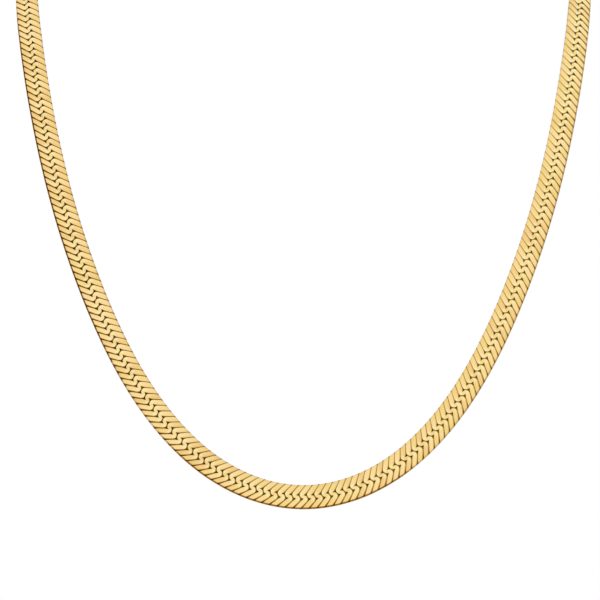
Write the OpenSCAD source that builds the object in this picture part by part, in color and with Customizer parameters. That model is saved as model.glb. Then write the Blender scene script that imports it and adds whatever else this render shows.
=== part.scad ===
// Flat snake chain necklace, worn: a woven flat band of small links that hangs in a U
// over the chest, goes up over the shoulders and round the back of the neck, where two
// end caps, two jump rings and a clasp close it. Millimetres, +Z up, -Y to the front.
// The origin is on the inner face of the clasp, where the necklace sits on the nape.

/* [Chain] */
// Width of the flat band
band_w = 5.3; // [4:0.1:6]
// Thickness of the flat band
band_t = 1; // [0.8:0.1:1.2]

/* [End caps] */
// Wall of the folded sleeve round the end of the band
cap_wall = 0.4; // [0.3:0.05:0.5]
// How far the band reaches into the sleeve
cap_grip = 2; // [1.5:0.25:2.5]
// Solid part of the cap behind the end of the band
cap_floor = 1; // [0.8:0.1:1.5]
// Length over which the cap narrows to its eye
cap_taper = 2.4; // [2.2:0.1:3.2]
// Thickness of the cap at its eye
cap_eye_t = 1.3; // [1.1:0.1:1.5]

/* [Eyes] */
// Radius of the hole in the eyes of the caps and the clasp
eye_hole_r = 0.85; // [0.8:0.05:0.95]
// Metal round that hole
eye_wall = 0.7; // [0.6:0.05:0.8]

/* [Jump rings] */
// Outside diameter of a jump ring
ring_od = 4.6; // [4.6:0.1:5]
// Diameter of the ring's wire
ring_wire = 0.8; // [0.7:0.05:0.8]

/* [Clasp] */
// Length from the centre of the clasp's eye to the far end of its opening
clasp_reach = 9.3; // [9:0.1:10.5]
// Thickness of the clasp
clasp_t = 1.6; // [1.4:0.1:1.7]
// Radius of the clasp's round end
clasp_nose_r = 2.9; // [2.7:0.1:3.2]
// Metal round the clasp's opening at that end
clasp_wall = 1.1; // [1:0.05:1.1]
// Radius of the opening's narrow end
open_tail_r = 0.9; // [0.7:0.1:1.2]
// Length of the opening between the centres of its two round ends
open_l = 3.1; // [2.5:0.1:3.5]
// Radius of the thumb nub
nub_r = 0.8; // [0.6:0.1:1]
// How far the nub sits behind the centre of the round end
nub_x = 1; // [0:0.1:1.5]

/* [Fit] */
// Gap between the band and the sleeve of its end cap
gap = 0.15; // [0.15:0.05:0.25]
// Play of a jump ring on each wall that it holds
play = 0.25; // [0.2:0.05:0.3]

/* [Hidden] */
gold = [0.93, 0.80, 0.53];
band_rings = 79;    // sections along the band, one of them at the front centre
arc_steps = 400;    // steps in which the half loop is measured
edge_facets = 5;    // facets round each half-round edge of the band
round_fn = 96;
wire_fn = 32;

// Right half of the loop, from the front centre to the nape: points that the chain's
// middle line is drawn by, as a smooth cubic curve that ends at 0, 0, 0 on the nape
route = [
    // across, depth, height
    [ 0,   -94.5, -143.5],
    [20.5, -93,   -136.5],
    [36.5, -89,   -118.5],
    [48,   -83.5,  -93.5],
    [55.5, -77.5,  -69.5],
    [60.5, -68.5,  -45.5],
    [64,   -55.5,  -22.5],
    [62,   -35,     -7],
    [49,   -16.5,   -1],
    [27,    -3,      0],
    [ 0,     1.5,    0]
];

// Where the band's outer face looks at each of those points: forwards on the chest,
// up and outwards over the shoulder, backwards on the nape.
facing = [
    // across, depth, height
    [0,   -10, 2],
    [0,   -10, 2],
    [0,   -10, 2],
    [0,   -10, 2],
    [0,   -10, 3],
    [0.5, -10, 4],
    [4.5,  -8, 6],
    [8,     0, 7],
    [8,     7, 6],
    [4,    10, 2],
    [0,    10, -1]
];

spans = len(route) - 1;
ring_r = (ring_od - ring_wire) / 2;
wire_r = ring_wire / 2;
eye_r = eye_hole_r + eye_wall;
seat = clasp_t / 2;     // sets the clasp's inner face, not its middle, at the origin

// The closed loop: the right half, then its mirror image on the way back. Points before
// the first one count back from the loop's end.
function wrap(i) = (i + 2 * spans) % (2 * spans);
function loop_point(table, i) = let (k = wrap(i))
    k <= spans ? table[k] : [-table[2 * spans - k].x, table[2 * spans - k].y, table[2 * spans - k].z];
function weights(t) = [pow(1 - t, 3), 3 * pow(t, 3) - 6 * t * t + 4,
                       -3 * pow(t, 3) + 3 * t * t + 3 * t + 1, pow(t, 3)] / 6;
function slopes(t) = [-pow(1 - t, 2), 3 * t * t - 4 * t, -3 * t * t + 2 * t + 1, t * t] / 2;
function blend(table, i, w) = w[0] * loop_point(table, i - 1) + w[1] * loop_point(table, i)
    + w[2] * loop_point(table, i + 1) + w[3] * loop_point(table, i + 2);
function curve(table, u) = blend(table, floor(u), weights(u - floor(u)));
function unit(v) = v / norm(v);

// Distance along the loop from the front centre, as pairs of distance and curve value
arc = [
    for (i = 0, s = 0; i <= arc_steps;
         s = s + norm(curve(route, spans * (i + 1) / arc_steps) - curve(route, spans * i / arc_steps)),
         i = i + 1)
        [s, spans * i / arc_steps]
];
half_loop = arc[arc_steps][0];
function u_at(s) = sign(s) * lookup(abs(s), arc);

// Point, running direction and outward direction of the band at distance s
function at(s) = curve(route, u_at(s)) + [0, seat, 0];
function along(s) = let (u = u_at(s)) unit(blend(route, floor(u), slopes(u - floor(u))));
function outward(s) = let (t = along(s), f = curve(facing, u_at(s))) unit(f - (f * t) * t);

// A jump ring holds a wall of thickness t: distance from the ring's centre to the side of
// the wall that the wire goes round
function hold(t) = sqrt(pow(ring_r - wire_r, 2) - pow(t / 2, 2)) - play;

// Distances from the nape, each way: the rings' centres, the caps' eyes, the band's ends
ring_x = (clasp_reach + 2 * hold(clasp_t) + eye_hole_r) / 2;
cap_eye_x = ring_x + hold(cap_eye_t) + eye_hole_r;
band_end_x = cap_eye_x + cap_taper + cap_floor + gap;
band_end = half_loop - band_end_x;
cap_w = band_w + 2 * (gap + cap_wall);
cap_t = band_t + 2 * (gap + cap_wall);
clasp_eye_x = -ring_x + hold(clasp_t) + eye_hole_r;
clasp_open_r = clasp_nose_r - clasp_wall;
clasp_nose_x = ring_x - hold(clasp_t) - clasp_open_r;

// Sets its child on the loop: x along it, z out of the band's face
module on_loop(s) {
    t = along(s);
    n = outward(s);
    y = cross(n, t);
    p = at(s);
    multmatrix([[t.x, y.x, n.x, p.x],
                [t.y, y.y, n.y, p.y],
                [t.z, y.z, n.z, p.z],
                [0, 0, 0, 1]]) children();
}

// Outline round two circles, r1 at the origin and r2 at distance d along x
module belt(r1, r2, d) {
    lean = acos((r1 - r2) / d);
    circle(r = r1, $fn = round_fn);
    translate([d, 0]) circle(r = r2, $fn = round_fn);
    polygon([r1 * [cos(lean), sin(lean)], r1 * [cos(lean), -sin(lean)],
             [d, 0] + r2 * [cos(lean), -sin(lean)], [d, 0] + r2 * [cos(lean), sin(lean)]]);
}

// Section of the band: two flat faces and two rounded edges, each edge in facets
function band_section() = let (r = band_t / 2, step = 180 / edge_facets) [
    for (side = [0, 180], k = [0 : edge_facets])
        let (a = -90 + k * step)
        [cos(side) * (band_w / 2 - r + r * cos(a) / cos(step / 2)), cos(side) * r * sin(a)]
];

// The woven links as one flat band, swept along the loop
module chain() {
    section = band_section();
    sides = len(section);
    points = [
        for (i = [0 : band_rings - 1])
            let (s = band_end * (2 * i / (band_rings - 1) - 1), t = along(s), n = outward(s))
            for (p = section) at(s) + p[0] * cross(n, t) + p[1] * n
    ];
    walls = [
        for (i = [0 : band_rings - 2], k = [0 : sides - 1])
            let (a = i * sides + k, b = i * sides + (k + 1) % sides)
            [a, a + sides, b + sides, b]
    ];
    first = [for (k = [0 : sides - 1]) k];
    last = [for (k = [sides - 1 : -1 : 0]) (band_rings - 1) * sides + k];
    color(gold) polyhedron(points, concat([first], walls, [last]), convexity = 8);
}

// Angle at which a line from a corner, d before a circle's centre and h to its side,
// touches the circle
function touch(d, h, r) = 180 - atan(h / d) - acos(r / norm([d, h]));

// A cap folded from sheet, crimped over the end of the band, narrowing to a flat eye.
// Drawn with the end of the band at x = 0 and its eye ahead along x.
module end_cap() {
    shoulder_x = gap + cap_floor;
    eye_x = shoulder_x + cap_taper;
    edge = eye_r * [cos(touch(cap_taper, cap_w / 2, eye_r)), sin(touch(cap_taper, cap_w / 2, eye_r))];
    difference() {
        intersection() {
            translate([0, 0, -cap_t / 2]) linear_extrude(cap_t) {
                translate([eye_x, 0]) circle(r = eye_r, $fn = round_fn);
                polygon([[-cap_grip, -cap_w / 2], [shoulder_x, -cap_w / 2],
                         [eye_x + edge.x, -edge.y], [eye_x + edge.x, edge.y],
                         [shoulder_x, cap_w / 2], [-cap_grip, cap_w / 2]]);
            }
            rotate([90, 0, 0]) translate([0, 0, -cap_w]) linear_extrude(2 * cap_w)
                polygon([[-cap_grip, -cap_t / 2], [shoulder_x, -cap_t / 2],
                         [eye_x - eye_hole_r, -cap_eye_t / 2], [eye_x + eye_r, -cap_eye_t / 2],
                         [eye_x + eye_r, cap_eye_t / 2], [eye_x - eye_hole_r, cap_eye_t / 2],
                         [shoulder_x, cap_t / 2], [-cap_grip, cap_t / 2]]);
        }
        translate([-cap_grip - gap, -band_w / 2 - gap, -band_t / 2 - gap])
            cube([cap_grip + 2 * gap, band_w + 2 * gap, band_t + 2 * gap]);
        translate([eye_x, 0, -cap_t]) cylinder(r = eye_hole_r, h = 2 * cap_t, $fn = round_fn);
    }
}

module end_cap_right() {
    color(gold) on_loop(band_end - cap_grip / 2) translate([cap_grip / 2, 0, 0]) end_cap();
}

module end_cap_left() {
    color(gold) mirror([1, 0, 0]) end_cap_right();
}

// Round wire bent to a ring, standing across the flat pieces that it joins
module jump_ring_right() {
    color(gold) on_loop(half_loop - ring_x) rotate([90, 0, 0])
        rotate_extrude($fn = round_fn) translate([ring_r, 0]) circle(r = wire_r, $fn = wire_fn);
}

module jump_ring_left() {
    color(gold) mirror([1, 0, 0]) jump_ring_right();
}

// One plain flat clasp, cut from thick plate: a long loop that holds the right ring, a
// thumb nub on its upper side, and an eye for the left ring
module clasp() {
    color(gold) translate([0, clasp_t, 0]) rotate([90, 0, 0]) linear_extrude(clasp_t)
        difference() {
            translate([clasp_nose_x, 0]) mirror([1, 0]) {
                belt(clasp_nose_r, eye_r, clasp_nose_x - clasp_eye_x);
                translate([nub_x, clasp_nose_r - nub_r / 2]) circle(r = nub_r, $fn = round_fn);
            }
            translate([clasp_nose_x, 0]) mirror([1, 0]) belt(clasp_open_r, open_tail_r, open_l);
            translate([clasp_eye_x, 0]) circle(r = eye_hole_r, $fn = round_fn);
        }
}

chain();
end_cap_right();
end_cap_left();
jump_ring_right();
jump_ring_left();
clasp();
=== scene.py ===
import math
import random

import bmesh
import bpy
import numpy as np
from mathutils import Euler, Matrix, Vector


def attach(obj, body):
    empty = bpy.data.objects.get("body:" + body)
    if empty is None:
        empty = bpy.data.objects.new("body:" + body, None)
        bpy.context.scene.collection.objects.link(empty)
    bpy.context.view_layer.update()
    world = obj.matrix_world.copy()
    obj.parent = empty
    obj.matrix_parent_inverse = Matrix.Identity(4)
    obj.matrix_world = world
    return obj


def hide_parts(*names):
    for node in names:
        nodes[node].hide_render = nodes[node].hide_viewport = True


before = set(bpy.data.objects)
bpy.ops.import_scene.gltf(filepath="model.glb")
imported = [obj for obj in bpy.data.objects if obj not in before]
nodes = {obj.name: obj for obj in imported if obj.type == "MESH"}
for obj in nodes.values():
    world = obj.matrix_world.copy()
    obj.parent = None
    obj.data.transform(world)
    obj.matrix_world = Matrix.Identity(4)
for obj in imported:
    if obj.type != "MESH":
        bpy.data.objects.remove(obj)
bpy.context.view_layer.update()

# The picture: the chain hangs from its nape before a plain white background, over a pale floor.
# A level camera stands in front of the chest. The light is soft and white, and darker cards beside,
# below and behind the chain are there for the polished metal to mirror.
MM = 0.001
QUARTER_TURN = math.pi / 2
CAMERA_X, CAMERA_Y, CAMERA_Z = -0.765 * MM, -737 * MM, -98.83 * MM
LENS, SENSOR = 180, 36
CLIP_NEAR, CLIP_FAR = 0.05, 20
FLOOR_Z = -350 * MM
FLOOR_R = 1.5
FLOOR_SIDES = 96

camera = bpy.data.objects.new("camera", bpy.data.cameras.new("camera"))
camera.data.lens = LENS
camera.data.sensor_width = SENSOR
camera.data.clip_start = CLIP_NEAR
camera.data.clip_end = CLIP_FAR
camera.location = (CAMERA_X, CAMERA_Y, CAMERA_Z)
camera.rotation_euler = (QUARTER_TURN, 0, 0)
bpy.context.scene.collection.objects.link(camera)
bpy.context.scene.camera = camera
bpy.context.scene.view_settings.view_transform = "Standard"


def linear(hex_colour):
    """The linear colour of an sRGB hex value such as "#F4D58A"."""
    parts = [int(hex_colour[i:i + 2], 16) / 255 for i in (1, 3, 5)]
    return [c / 12.92 if c <= 0.04045 else ((c + 0.055) / 1.055) ** 2.4 for c in parts] + [1]


def add(material, kind, inputs=(), **settings):
    """Adds a node of that kind to a material or world, with its settings and its inputs.
    An input is a plain value, or an output of another node, which is then linked."""
    tree = material.node_tree
    node = tree.nodes.new("ShaderNode" + kind)
    for name, value in settings.items():
        setattr(node, name, value)
    for name, value in dict(inputs).items():
        if isinstance(value, bpy.types.NodeSocket):
            tree.links.new(value, node.inputs[name])
        else:
            node.inputs[name].default_value = value
    return node


def plain_material(name):
    """A new material with only its output node, and that node."""
    material = bpy.data.materials.new(name)
    material.use_nodes = True
    material.node_tree.nodes.clear()
    return material, material.node_tree.nodes.new("ShaderNodeOutputMaterial")


world = bpy.data.worlds.new("soft white studio")
world.use_nodes = True
world.node_tree.nodes["Background"].inputs["Color"].default_value = linear("#FFFFFF")
world.node_tree.nodes["Background"].inputs["Strength"].default_value = 1.0
bpy.context.scene.world = world

floor_mesh = bpy.data.meshes.new("floor")
bm = bmesh.new()
bmesh.ops.create_circle(bm, cap_ends=True, segments=FLOOR_SIDES, radius=FLOOR_R)
bmesh.ops.translate(bm, verts=bm.verts, vec=(0, 0, FLOOR_Z))
bm.to_mesh(floor_mesh)
bm.free()
floor = bpy.data.objects.new("floor", floor_mesh)
bpy.context.scene.collection.objects.link(floor)
floor_paint, out = plain_material("matt white floor")
shader = add(floor_paint, "BsdfPrincipled", {"Base Color": linear("#E4E4E4"), "Roughness": 0.9})
floor_paint.node_tree.links.new(shader.outputs[0], out.inputs["Surface"])
floor_mesh.materials.append(floor_paint)

# The cards: name, centre and size in mm, turn in degrees, colour, and how bright it looks. The
# camera doesn't see them, and they neither light what is matt nor throw a shadow.
CARDS = [
    ("card_below", (0, -110, -320), (500, 340), (0, 0, 0), "#FFC860", 0.38),
    ("card_left", (-350, -60, -70), (380, 520), (0, 90, 0), "#FFC860", 0.19),
    ("card_right", (350, -60, -70), (380, 520), (0, 90, 0), "#FFF6E0", 0.62),
    ("card_behind", (0, 420, -60), (900, 500), (90, 0, 0), "#FFF4DC", 0.75),
]
for name, centre, size, turn, colour, bright in CARDS:
    card_mesh = bpy.data.meshes.new(name)
    bm = bmesh.new()
    # A square of 1 mm, scaled to the card's size
    bmesh.ops.create_grid(bm, x_segments=1, y_segments=1, size=MM / 2)
    bmesh.ops.scale(bm, verts=bm.verts, vec=(size[0], size[1], 1))
    bmesh.ops.rotate(bm, verts=bm.verts, matrix=Euler([math.radians(a) for a in turn]).to_matrix())
    bmesh.ops.translate(bm, verts=bm.verts, vec=[c * MM for c in centre])
    bm.to_mesh(card_mesh)
    bm.free()
    card = bpy.data.objects.new(name, card_mesh)
    bpy.context.scene.collection.objects.link(card)
    card_paper, out = plain_material(name + " paper")
    glow = add(card_paper, "Emission", {"Color": linear(colour), "Strength": bright})
    card_paper.node_tree.links.new(glow.outputs[0], out.inputs["Surface"])
    card_mesh.materials.append(card_paper)
    card.visible_camera = card.visible_diffuse = card.visible_shadow = False

# The woven chain: about 300 flat links of gold-plated brass, each a closed ring pressed into an S.
# Every link crosses the front, turns round the outer edge and comes back across the inner face.
# Each tucks a lip under the next one, at the same slant all the way from one end cap to the other.
BAND_W, BAND_T = 5.3 * MM, 1 * MM
# From the front centre to each end of the woven band, along the route
BAND_END = 238.67 * MM
# From link to link, and how wide the bar of a link is, both along the chain
PITCH = 1.6 * MM
BAR_W = 1.32 * MM
# What is left free between the links and the band's outside
SKIN = 0.06 * MM
HALF_W = BAND_W / 2 - SKIN
HALF_T = BAND_T / 2 - SKIN

# The route of the band's middle line and where its face looks, in millimetres, from the front
# centre over the right shoulder to the nape. The other half is its mirror image.
ROUTE = [
    (0, -94.5, -143.5), (20.5, -93, -136.5), (36.5, -89, -118.5), (48, -83.5, -93.5),
    (55.5, -77.5, -69.5), (60.5, -68.5, -45.5), (64, -55.5, -22.5), (62, -35, -7),
    (49, -16.5, -1), (27, -3, 0), (0, 1.5, 0),
]
FACING = [
    (0, -10, 2), (0, -10, 2), (0, -10, 2), (0, -10, 2), (0, -10, 3), (0.5, -10, 4),
    (4.5, -8, 6), (8, 0, 7), (8, 7, 6), (4, 10, 2), (0, 10, -1),
]
# Sets the clasp's inner face, and not its middle, at the origin
SEAT = Vector((0, 0.8, 0))
SPANS = len(ROUTE) - 1
ARC_STEPS = 400


def blend(table, u, weights):
    """A weighted sum of the four table rows round curve value u, on the closed, mirrored loop."""
    total = Vector()
    for step, weight in enumerate(weights):
        k = (math.floor(u) - 1 + step) % (2 * SPANS)
        row = Vector(table[k if k <= SPANS else 2 * SPANS - k])
        if k > SPANS:
            row.x = -row.x
        total += weight * row
    return total


def on_curve(table, u):
    """The place at u on the smooth cubic curve that the table's rows draw."""
    t = u - math.floor(u)
    return blend(table, u, [(1 - t) ** 3 / 6, (3 * t ** 3 - 6 * t * t + 4) / 6,
                            (-3 * t ** 3 + 3 * t * t + 3 * t + 1) / 6, t ** 3 / 6])


def slope(table, u):
    """Where that curve runs at u."""
    t = u - math.floor(u)
    return blend(table, u, [-(1 - t) ** 2 / 2, (3 * t * t - 4 * t) / 2,
                            (-3 * t * t + 2 * t + 1) / 2, t * t / 2])


# How far along the loop each of the curve's stops is
curve_values = [SPANS * i / ARC_STEPS for i in range(ARC_STEPS + 1)]
stops = [on_curve(ROUTE, u) for u in curve_values]
lengths = [0.0]
for near, far in zip(stops, stops[1:]):
    lengths.append(lengths[-1] + (far - near).length * MM)


def place(s):
    """The matrix that sets a thing on the loop at distance s from the front centre:
    x along it, y to its inner edge, z out of its face."""
    u = math.copysign(np.interp(abs(s), lengths, curve_values), s)
    along = slope(ROUTE, u).normalized()
    out = on_curve(FACING, u)
    out = (out - out.dot(along) * along).normalized()
    side = out.cross(along)
    where = (on_curve(ROUTE, u) + SEAT) * MM
    return Matrix.Translation(where) @ Matrix((along, side, out)).transposed().to_4x4()


# A link's front bar runs from the inner edge, where y is high, to the outer one, and turns twice
# on the way. Its own outward corner is rounded and the neighbour's inward corner beside it is
# sharp, which leaves a small dark hollow between the two.

# Where across the band the bar turns, and how far each run goes along the chain for each mm across
TURN_1, TURN_2 = 0.49 * MM, -0.48 * MM
LEAN_IN, MIDDLE_LEAN, LEAN_OUT = 0.82, -0.9, 0.9
# The radius of the rounded corner
ROUND_R = 0.75 * MM
# How deep the sharp corner cuts into the bar, and how far it is shifted to the band's middle
NOTCH, NOTCH_DROP = 0.27 * MM, 0.1 * MM
# How far that cut reaches along the leg, the run at the band's edge, and along the middle run
LEG_REACH, MIDDLE_REACH = 0.5 * MM, 0.32 * MM
# How far the bar has bent down at the band's edge, and how far before the edge the bend starts
EDGE_BEND, EDGE_FOLD = math.radians(75), 0.33 * MM
# How far round a knuckle the painted highlight reaches, and how near the band's edge the painted
# reflection is
HIGHLIGHT_REACH = 0.92 * MM
SIDE_STRIP = 0.1 * MM
# A step that is short beside every run of the bar
SHORT_STEP = 0.1 * MM
half_bar = Vector((BAR_W / 2, 0, 0))

# The wire's section: its flat face, and below it the lip that tucks under the next link. Each row
# is a share of the bar's width from its middle and a depth under its face.
LIP_DEPTH = 0.2 * MM
SECTION = [(-0.5, 0), (0.5, 0), (0.98, LIP_DEPTH)]
# The row where the face ends and the lip begins, which the wire's underside doesn't touch
FACE_END = 1

# How wide the bar is at each of its ten cuts, from the inner edge to the outer one, against BAR_W
WIDTHS = [0.84, 1.03, 0.99, 1, 0.98, 0.98, 1, 0.96, 0.82, 0.7]
# How dark the groove's painted shade is at the cuts that have any: the two corners and the outer edge
SHADED_CUTS = {3: 1, 6: 1, 8: 0.5, 9: 0.5}


def line_at(y):
    """The point at height y of the line that runs along the middle of the bar."""
    turned = min(max(y, TURN_2), TURN_1)
    lean = LEAN_IN if y > turned else LEAN_OUT
    return Vector((MIDDLE_LEAN * turned + lean * (y - turned), y, HALF_T))


def corner(turn):
    """The rounded line and the sharp line round a corner, three points on each."""
    at = line_at(turn)
    before = (line_at(turn + SHORT_STEP) - at).normalized()
    after = (line_at(turn - SHORT_STEP) - at).normalized()
    inward = (before + after).normalized()
    half_angle = before.angle(after) / 2
    reach = ROUND_R / math.tan(half_angle)
    rounded = [at + before * reach, at + inward * ROUND_R * (1 / math.sin(half_angle) - 1),
               at + after * reach]
    notch = at - inward * NOTCH - Vector((0, math.copysign(NOTCH_DROP, turn), 0))
    reaches = (LEG_REACH, MIDDLE_REACH) if turn > 0 else (MIDDLE_REACH, LEG_REACH)
    sharp = [at + before * reaches[0], notch, at + after * reaches[1]]
    return rounded, sharp


def edge_cuts(side):
    """The two cuts at an edge of the band: over the edge, and where the bend starts."""
    over = line_at(side * HALF_W)
    over.z = HALF_T * math.cos(EDGE_BEND)
    start = line_at(side * (HALF_W - EDGE_FOLD))
    return [(over, over, side * EDGE_BEND), (start, start, 0)]


def cut_frame(left_point, right_point, tilt):
    """The matrix that sets the section between two points: x across the bar, y along it,
    z out of its face."""
    across = right_point - left_point
    outward = Vector((0, math.sin(tilt), math.cos(tilt)))
    forward = outward.cross(across).normalized()
    return Matrix.Translation((left_point + right_point) / 2) @ Matrix(
        (across, forward, outward)).transposed().to_4x4()


rounded_1, sharp_1 = corner(TURN_1)
rounded_2, sharp_2 = corner(TURN_2)
cuts = edge_cuts(1) + [(a, b, 0) for a, b in zip(rounded_1, sharp_1)]
cuts += [(a, b, 0) for a, b in zip(sharp_2, rounded_2)] + edge_cuts(-1)[::-1]
frames = []
for (left, right, tilt), wide in zip(cuts, WIDTHS):
    frames.append(cut_frame(left - half_bar * wide, right + half_bar * wide, tilt))

# The section is drawn along the bar from cut to cut. The mesh keeps what the plate's colour, with its
# painted light and shade, needs to know: how deep each corner lies, where the groove's painted shade
# is darkest, which faces look into the link, how near a knuckle each corner is, and which corners are
# at the band's edge.
link_bm = bmesh.new()
groove = link_bm.verts.layers.float.new("groove")
knuckle = link_bm.verts.layers.float.new("knuckle")
side_wall = link_bm.verts.layers.float.new("side")
pit = link_bm.verts.layers.float.new("pit")
inside = link_bm.faces.layers.float.new("inside")
section_row = link_bm.verts.layers.int.new("section_row")
ring = [link_bm.verts.new(frames[0] @ Vector((share, 0, -depth))) for share, depth in SECTION]
for row, (vert, (share, depth)) in enumerate(zip(ring, SECTION)):
    vert[groove] = depth / LIP_DEPTH
    vert[section_row] = row
edges = [link_bm.edges.new((ring[i - 1], ring[i])) for i in range(len(ring))]
first_edges = list(edges)
for number, (before, after) in enumerate(zip(frames, frames[1:]), start=1):
    grown = bmesh.ops.extrude_edge_only(link_bm, edges=edges)["geom"]
    edges = [g for g in grown if isinstance(g, bmesh.types.BMEdge) and len(g.link_faces) == 1]
    moved = [g for g in grown if isinstance(g, bmesh.types.BMVert)]
    bmesh.ops.transform(link_bm, matrix=after @ before.inverted(), verts=moved)
    for vert in moved:
        vert[pit] = SHADED_CUTS.get(number, 0)
for face in link_bm.faces:
    face[inside] = all(vert[section_row] != FACE_END for vert in face.verts)
# How near each corner is to a knuckle, for the painted highlight, and whether it lies at the band's
# edge, for the painted reflection
knuckles = [rounded_1[1] - half_bar, rounded_2[1] + half_bar]
for vert in link_bm.verts:
    off_knuckle = min((vert.co - point).length for point in knuckles)
    vert[knuckle] = max(0, 1 - off_knuckle / HIGHLIGHT_REACH)
    vert[side_wall] = 1 if abs(vert.co.y) > HALF_W - SIDE_STRIP else 0

# The back is a copy of the front, turned over. Bridging their ends at both edges closes the ring.
front = list(link_bm.verts) + list(link_bm.edges) + list(link_bm.faces)
copied = bmesh.ops.duplicate(link_bm, geom=front)
back_verts = [g for g in copied["geom"] if isinstance(g, bmesh.types.BMVert)]
twin = copied["edge_map"]
bmesh.ops.rotate(link_bm, verts=back_verts, matrix=Matrix.Rotation(math.pi, 3, "X"))
bmesh.ops.bridge_loops(link_bm, edges=first_edges + [twin[e] for e in edges])
bmesh.ops.bridge_loops(link_bm, edges=edges + [twin[e] for e in first_edges])
bmesh.ops.recalc_face_normals(link_bm, faces=link_bm.faces)
for f in link_bm.faces:
    f.smooth = True
reach_back, reach_ahead = (max(sign * v.co.x for v in link_bm.verts) for sign in (-1, 1))

# The links are set side by side along the whole band, each bent a little as the band curves. At
# its two ends the chain is cut straight across, as it is before the end caps are crimped on.
HALF_COUNT = math.ceil((BAND_END + reach_back) / PITCH)
# By about how many degrees each link is turned: about the chain, about a line across it, and flat
WOBBLE = (0.12, 0.2, 0.25)
SEED = 7
# Links are shaded as if smooth, except at edges that turn by more than this
LINK_CREASE = math.radians(28)
dice = random.Random(SEED)
chain_bm = bmesh.new()
tone = chain_bm.verts.layers.float.new("tone")
toned = 0
for i in range(-HALF_COUNT, HALF_COUNT + 1):
    s = i * PITCH
    wobble = Euler([math.radians(dice.gauss(0, spread)) for spread in WOBBLE])
    shade = dice.random()
    if s - reach_back > BAND_END - SKIN or s + reach_ahead < SKIN - BAND_END:
        continue
    cut_bm = link_bm.copy()
    for sign in (-1, 1):
        if s + reach_ahead > BAND_END or s - reach_back < -BAND_END:
            everything = list(cut_bm.verts) + list(cut_bm.edges) + list(cut_bm.faces)
            cut = bmesh.ops.bisect_plane(cut_bm, geom=everything, plane_co=(sign * BAND_END - s, 0, 0),
                                         plane_no=(sign, 0, 0), clear_outer=True)["geom_cut"]
            bmesh.ops.holes_fill(cut_bm, edges=[g for g in cut if isinstance(g, bmesh.types.BMEdge)])
    for vert in cut_bm.verts:
        spot = wobble.to_matrix() @ vert.co
        vert.co = place(s + spot.x) @ Vector((0, spot.y, spot.z))
    link = bpy.data.meshes.new("link")
    cut_bm.to_mesh(link)
    cut_bm.free()
    chain_bm.from_mesh(link)
    bpy.data.meshes.remove(link)
    chain_bm.verts.ensure_lookup_table()
    for vert in chain_bm.verts[toned:]:
        vert[tone] = shade
    toned = len(chain_bm.verts)
chain_mesh = bpy.data.meshes.new("woven_links")
chain_bm.to_mesh(chain_mesh)
chain_bm.free()
link_bm.free()
chain_mesh.set_sharp_from_angle(angle=LINK_CREASE)
woven_links = bpy.data.objects.new("woven_links", chain_mesh)
bpy.context.scene.collection.objects.link(woven_links)

# Brass wire plated with yellow gold and polished once it is woven and rolled flat. The plate's colour
# carries a painted highlight on the knuckles in the middle, a paler, greyer painted reflection round
# the two edges of the chain, and painted shade in the grooves, lighter on the +x side.
# How wide the blotches in the plate are, and how much they weigh against the tone of a whole link
BLOTCH_SIZE = 1.2 * MM
BLOTCH_SHARE = 0.9
# How dark the painted shade is on the side of the wire that faces into the link, against the bottom of
# a groove
UNDERSIDE = 0.4
# From where to where across the necklace the grooves' painted shade goes from its darkest to its
# lightest
SHADED_X, LIT_X = -50 * MM, 62 * MM
MARK_SPACING = 0.06 * MM
MARK_DEPTH = 0.01 * MM
gold, out = plain_material("polished gold plate on flattened links")
depth = add(gold, "Attribute", attribute_name="groove")
link_tone = add(gold, "Attribute", attribute_name="tone")
highlight_share = add(gold, "Attribute", attribute_name="knuckle")
where = add(gold, "TexCoord")
# The plate's tone, which changes a little from link to link and in blotches
blotch = add(gold, "TexNoise", {"Vector": where.outputs["Object"], "Scale": 1 / BLOTCH_SIZE,
                                "Detail": 3.0})
uneven = add(gold, "Math", {0: blotch.outputs["Fac"], 1: BLOTCH_SHARE, 2: link_tone.outputs["Fac"]},
             operation="MULTIPLY_ADD")
tone_ramp = add(gold, "ValToRGB", {"Fac": uneven.outputs["Value"]})
tone_ramp.color_ramp.elements[0].position = 0.3
tone_ramp.color_ramp.elements[0].color = linear("#ECC371")
tone_ramp.color_ramp.elements[1].position = 1.0
tone_ramp.color_ramp.elements[1].color = linear("#FAD892")
tone_ramp.color_ramp.elements.new(0.55).color = linear("#F2CA81")
tone_ramp.color_ramp.elements.new(0.8).color = linear("#F4D380")
# A painted highlight on the knuckles, and a paler, greyer painted reflection at the two edges
knuckle_highlight = add(gold, "MixRGB", {"Fac": highlight_share.outputs["Fac"], "Color1": tone_ramp.outputs["Color"],
                                "Color2": linear("#FFF2BA")})
# The band's edges get a paler, greyer colour: a painted reflection on the rounded rims
at_side = add(gold, "Attribute", attribute_name="side")
side_share = add(gold, "MapRange", {"Value": at_side.outputs["Fac"], "From Min": 0.3, "From Max": 0.9,
                                    "To Min": 0.0, "To Max": 1.0})
pale_edge_reflection = add(gold, "MixRGB", {"Fac": side_share.outputs["Result"], "Color1": knuckle_highlight.outputs["Color"],
                              "Color2": linear("#D9C6A2")})
# Painted shade in the grooves, from none at their top to the darkest at their bottom
in_weave = add(gold, "Attribute", attribute_name="inside")
under = add(gold, "Math", {0: in_weave.outputs["Fac"], 1: UNDERSIDE}, operation="MULTIPLY")
deepness = add(gold, "Math", {0: depth.outputs["Fac"], 1: under.outputs["Value"]},
               operation="MAXIMUM")
groove_ramp = add(gold, "ValToRGB", {"Fac": deepness.outputs["Value"]})
groove_ramp.color_ramp.elements[0].color = (1, 1, 1, 1)
groove_ramp.color_ramp.elements[1].color = linear("#5A4208")
groove_ramp.color_ramp.elements.new(0.05).color = linear("#A67E28")
groove_ramp.color_ramp.elements.new(0.4).color = linear("#8C6C1E")
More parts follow.
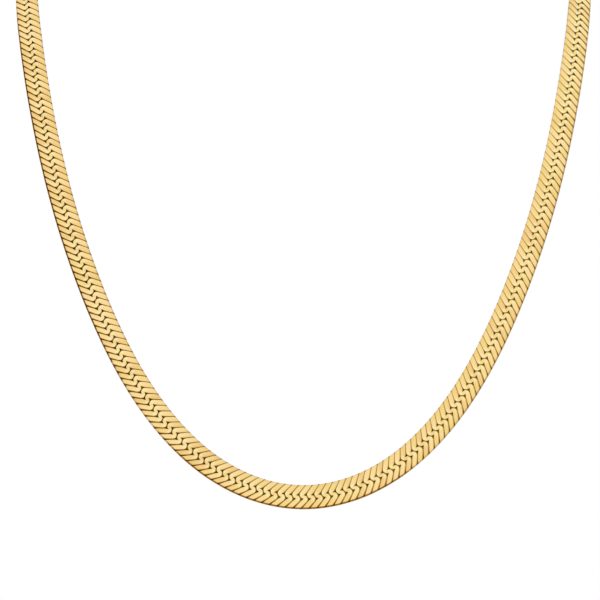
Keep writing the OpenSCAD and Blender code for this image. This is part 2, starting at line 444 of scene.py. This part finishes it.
# The painted shade in the grooves and the hollows is lighter towards +x
axes = add(gold, "SeparateXYZ", {"Vector": where.outputs["Object"]})
shade_by_x = add(gold, "MapRange", {"Value": axes.outputs["X"], "From Min": SHADED_X, "From Max": LIT_X,
                              "To Min": 1.2, "To Max": 0.1})
groove_colour = add(gold, "Gamma", {"Color": groove_ramp.outputs["Color"],
                                    "Gamma": shade_by_x.outputs["Result"]})
# Painted shade in the hollows at the corners and at the outer ends of the grooves, darker still
at_corner = add(gold, "Attribute", attribute_name="pit")
hollow_depth = add(gold, "Math", {0: deepness.outputs["Value"], 1: at_corner.outputs["Fac"]},
             operation="MULTIPLY")
hollow = add(gold, "MapRange", {"Value": hollow_depth.outputs["Value"], "From Min": 0.12, "From Max": 0.32,
                                "To Min": 0.0, "To Max": 1.0})
lit_by_x = add(gold, "MapRange", {"Value": axes.outputs["X"], "From Min": SHADED_X, "From Max": LIT_X,
                                 "To Min": 0.0, "To Max": 1.0})
hollow_colour = add(gold, "MixRGB", {"Fac": lit_by_x.outputs["Result"], "Color1": linear("#4E3A04"),
                                     "Color2": linear("#8C6A10")})
dark_hollow = add(gold, "MixRGB", {"Fac": hollow.outputs["Result"],
                                   "Color1": groove_colour.outputs["Color"],
                                   "Color2": hollow_colour.outputs["Color"]})
grooved = add(gold, "MixRGB", {"Fac": 1.0, "Color1": pale_edge_reflection.outputs["Color"],
                               "Color2": dark_hollow.outputs["Color"]}, blend_type="MULTIPLY")
# The shine changes with the blotches
gloss = add(gold, "MapRange", {"Value": blotch.outputs["Fac"], "From Min": 0.3, "From Max": 0.7,
                               "To Min": 0.14, "To Max": 0.27})
# Polishing marks, along the chain and across it alike. They are drawn coarser than the real ones,
# and at the camera's distance they only soften the shine.
scratches = add(gold, "TexNoise", {"Vector": where.outputs["Object"], "Scale": 1 / MARK_SPACING,
                                   "Detail": 2.0})
relief = add(gold, "Bump", {"Height": scratches.outputs["Fac"], "Strength": 0.08,
                            "Distance": MARK_DEPTH})
shader = add(gold, "BsdfPrincipled", {"Base Color": grooved.outputs["Color"], "Metallic": 1.0,
                                      "Roughness": gloss.outputs["Result"],
                                      "Normal": relief.outputs["Normal"]})
gold.node_tree.links.new(shader.outputs[0], out.inputs["Surface"])
chain_mesh.materials.append(gold)
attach(woven_links, "root")
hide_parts("chain")

# The end caps: gold-plated brass sheet of 0.4 mm, folded round the cut end of the chain and crimped
# on it, then narrowed and flattened to an eye for the jump ring. Its edges are tumbled smooth.
CAP_ROUNDING = 0.1 * MM
# In a copy of a node's mesh, corners nearer than SAME_PLACE are one corner, neighbouring faces that
# turn by less than FLAT are one face, and edges that turn by more than SHARP are rounded. The
# finished piece is shaded as if smooth, except at edges that turn by more than FINDING_CREASE.
SAME_PLACE = 0.0001 * MM
FLAT = math.radians(1)
SHARP = math.radians(20)
FINDING_CREASE = math.radians(40)

# Brass tumbled with ceramic chips and plated with the same gold: smooth, a little cloudy, with
# fine marks in all directions, which are drawn coarser than the real ones.
CLOUD_SIZE = 2.5 * MM
DENT_SPACING = 0.08 * MM
findings, out = plain_material("polished gold plate on tumbled brass findings")
where = add(findings, "TexCoord")
cloud = add(findings, "TexNoise", {"Vector": where.outputs["Object"], "Scale": 1 / CLOUD_SIZE,
                                   "Detail": 1.0})
hue = add(findings, "ValToRGB", {"Fac": cloud.outputs["Fac"]})
hue.color_ramp.elements[0].position = 0.3
hue.color_ramp.elements[0].color = linear("#EECA80")
hue.color_ramp.elements[1].position = 0.7
hue.color_ramp.elements[1].color = linear("#F8DC9B")
marks = add(findings, "TexNoise", {"Vector": where.outputs["Object"], "Scale": 1 / DENT_SPACING,
                                   "Detail": 2.0})
dents = add(findings, "Bump", {"Height": marks.outputs["Fac"], "Strength": 0.06,
                               "Distance": MARK_DEPTH})
shine = add(findings, "MapRange", {"Value": cloud.outputs["Fac"], "From Min": 0.3, "From Max": 0.7,
                                   "To Min": 0.1, "To Max": 0.2})
shader = add(findings, "BsdfPrincipled", {"Base Color": hue.outputs["Color"], "Metallic": 1.0,
                                          "Roughness": shine.outputs["Result"],
                                          "Normal": dents.outputs["Normal"]})
findings.node_tree.links.new(shader.outputs[0], out.inputs["Surface"])


def finding(bm, name, node_name):
    """Makes the finished piece of a mesh in the making, in place of the frame's own node."""
    bmesh.ops.recalc_face_normals(bm, faces=bm.faces)
    for face in bm.faces:
        face.smooth = True
    mesh = bpy.data.meshes.new(name)
    bm.to_mesh(mesh)
    bm.free()
    mesh.set_sharp_from_angle(angle=FINDING_CREASE)
    mesh.materials.append(findings)
    piece = bpy.data.objects.new(name, mesh)
    bpy.context.scene.collection.objects.link(piece)
    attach(piece, "root")
    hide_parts(node_name)


def softened(node_name, rounding, segments):
    """A merged copy of a frame node's mesh in the making, with all its sharp edges rounded."""
    bm = bmesh.new()
    bm.from_mesh(nodes[node_name].data)
    bmesh.ops.remove_doubles(bm, verts=bm.verts, dist=SAME_PLACE)
    bmesh.ops.dissolve_limit(bm, angle_limit=FLAT, verts=bm.verts, edges=bm.edges)
    keen = [e for e in bm.edges if e.is_manifold and e.calc_face_angle() > SHARP]
    bmesh.ops.bevel(bm, geom=keen, offset=rounding, offset_type="OFFSET", affect="EDGES",
                    segments=segments, profile=0.5, material=-1, clamp_overlap=True)
    return bm


for side in ("right", "left"):
    cap_bm = softened("end_cap_" + side, CAP_ROUNDING, segments=2)
    finding(cap_bm, "crimped_cap_" + side, "end_cap_" + side)

# The jump rings: round wire of 0.8 mm, coiled and sawn into rings, plated, then opened sideways to
# go through the eyes and closed again. The sawn ends butt, with a fine seam between them. The wire
# is drawn a hair thinner than it is, to stay inside the solid that the ring replaces.
RING_R, WIRE_R = 1.9 * MM, 0.395 * MM
WIRE_SIDES, RING_STEPS = 20, 72
# From the nape to the middle of each ring, along the route
RING_FROM_NAPE = 6.094 * MM
# How wide the seam is, and how far round the ring it lies
SEAM = 0.05 * MM
SEAM_TURN = math.radians(35)
END_ROUNDING = 0.06 * MM

for side, sign in (("right", 1), ("left", -1)):
    bm = bmesh.new()
    bmesh.ops.create_circle(bm, segments=WIRE_SIDES, radius=WIRE_R)
    bmesh.ops.rotate(bm, verts=bm.verts, matrix=Matrix.Rotation(QUARTER_TURN, 3, "X"))
    bmesh.ops.translate(bm, verts=bm.verts, vec=(RING_R, 0, 0))
    turn = 2 * math.pi - SEAM / RING_R
    bmesh.ops.spin(bm, geom=list(bm.verts) + list(bm.edges), cent=(0, 0, 0), axis=(0, 0, 1),
                   angle=turn, steps=RING_STEPS)
    rims = [e for e in bm.edges if e.is_boundary]
    bmesh.ops.holes_fill(bm, edges=rims)
    bmesh.ops.bevel(bm, geom=rims, offset=END_ROUNDING, offset_type="OFFSET", affect="EDGES",
                    segments=2, profile=0.5, material=-1)
    bmesh.ops.rotate(bm, verts=bm.verts, matrix=Matrix.Rotation(SEAM_TURN, 3, "Z"))
    bmesh.ops.rotate(bm, verts=bm.verts, matrix=Matrix.Rotation(QUARTER_TURN, 3, "X"))
    bmesh.ops.transform(bm, verts=bm.verts, matrix=place(sign * (lengths[-1] - RING_FROM_NAPE)))
    finding(bm, "wire_ring_" + side, "jump_ring_" + side)

# The clasp: one flat plated casting with a long opening for one ring, a nub for the thumb and an eye
# for the other ring. It is tumbled until its edges are well rounded.
CLASP_ROUNDING = 0.32 * MM

finding(softened("clasp", CLASP_ROUNDING, segments=4), "cast_clasp", "clasp")
